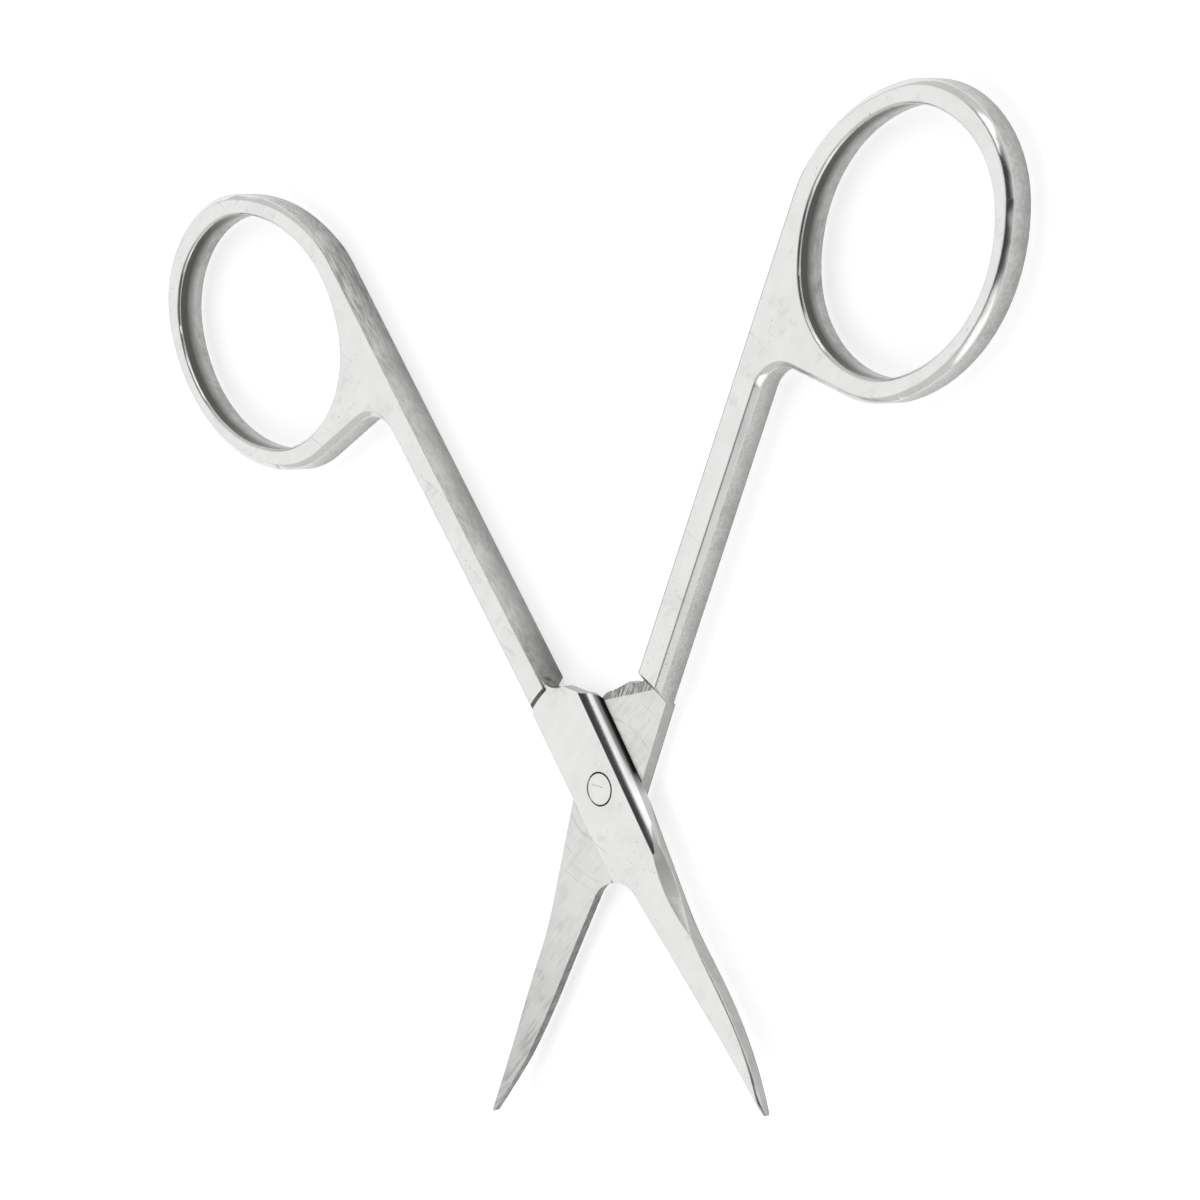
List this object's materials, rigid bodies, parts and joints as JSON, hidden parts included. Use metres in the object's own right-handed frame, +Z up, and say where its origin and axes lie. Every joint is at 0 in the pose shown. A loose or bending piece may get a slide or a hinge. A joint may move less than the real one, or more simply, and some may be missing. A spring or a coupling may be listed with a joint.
{
  "type": "cuticle scissors",
  "caption": "Small curved-tip scissors for trimming cuticles: crossed steel halves that pivot on a flush rivet, with oval finger rings and straight shanks.",
  "frame": {"origin": "middle of the footprint, on the surface that the scissors lie on", "axes": "+Y from the blade tips towards the finger rings, +Z up along the pivot, out of the face that the tips curve towards, +X to the back half's ring"},
  "size_m": [0.0898, 0.0728, 0.0029],
  "materials": {
    "blade_steel": "polished stainless steel with fine grinding lines",
    "rivet_steel": "ground flush"
  },
  "bodies": {
    "back": {"back_half": "blade_steel", "pivot_rivet": "rivet_steel"},
    "front": {"front_half": "blade_steel"}
  },
  "joints": [
    {"name": "blade_pivot", "type": "hinge", "parent": "back", "child": "front", "pos_m": [0, -0.01216, 0.0013], "axis": [0, 0, 1], "range_deg": [-60.6, 20]}
  ]
}
